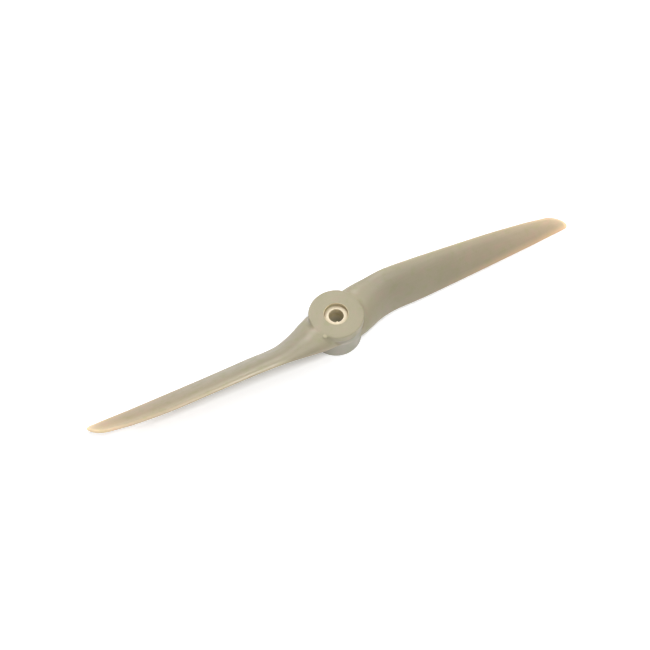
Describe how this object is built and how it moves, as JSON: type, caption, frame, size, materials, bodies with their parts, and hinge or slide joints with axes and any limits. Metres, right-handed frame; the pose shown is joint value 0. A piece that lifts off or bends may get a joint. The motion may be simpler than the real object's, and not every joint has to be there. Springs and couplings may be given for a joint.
{
  "type": "model aircraft propeller",
  "caption": "Slim twisted propeller for a model aircraft, moulded together with a round hub whose front recess holds a removable shaft adapter ring.",
  "frame": {"origin": "centre of the shaft bore at the hub's rear face", "axes": "+Z along the bore axis, out of the hub's front face and forwards in flight; X along the span of the blades; the blade along +X has its leading edge towards +Y"},
  "size_m": [0.2286, 0.0238, 0.0174],
  "materials": {
    "moulding": "grey-tan glass-filled nylon, satin, slightly translucent at the thin edges and tips",
    "ring": "cream unfilled nylon, satin"
  },
  "bodies": {
    "propeller": {"propeller": "moulding"},
    "adapter_ring": {"adapter_ring": "ring"}
  },
  "joints": [
    {"name": "ring_lift", "type": "slide", "parent": "propeller", "child": "adapter_ring", "axis": [0, 0, 1], "range_m": [0, 0.008]}
  ]
}
